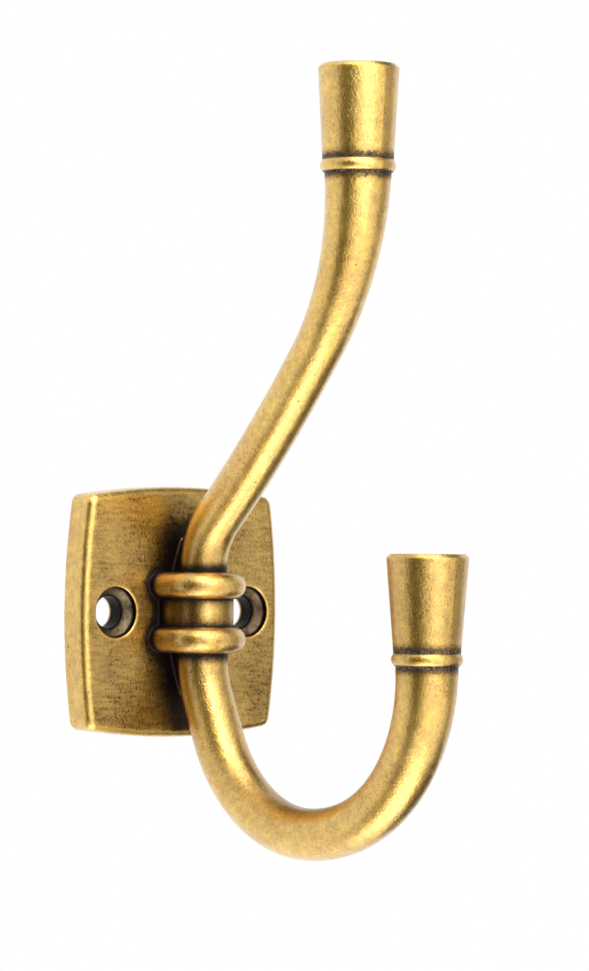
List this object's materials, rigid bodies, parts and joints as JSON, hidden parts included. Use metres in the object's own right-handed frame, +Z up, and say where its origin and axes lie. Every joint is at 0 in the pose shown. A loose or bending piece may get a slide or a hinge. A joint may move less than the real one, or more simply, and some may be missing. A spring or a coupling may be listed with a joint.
{
  "type": "furniture hook",
  "caption": "Cast wall hook with a bowed square back plate, a long upper arm and a J-shaped lower arm, each ending in a flared tip above a ring bead.",
  "frame": {"origin": "centre of the plate's back face, on the wall, midway between the screw holes", "axes": "+Z up along the wall, +X along the wall to the right for someone who faces the hook, the hook stands out towards -Y"},
  "size_m": [0.042, 0.0737, 0.1285],
  "materials": {
    "antique_brass": "antique brass plating, rubbed bright on the high places and dark in the corners"
  },
  "bodies": {
    "root": {"hook": "antique_brass"}
  },
  "joints": []
}
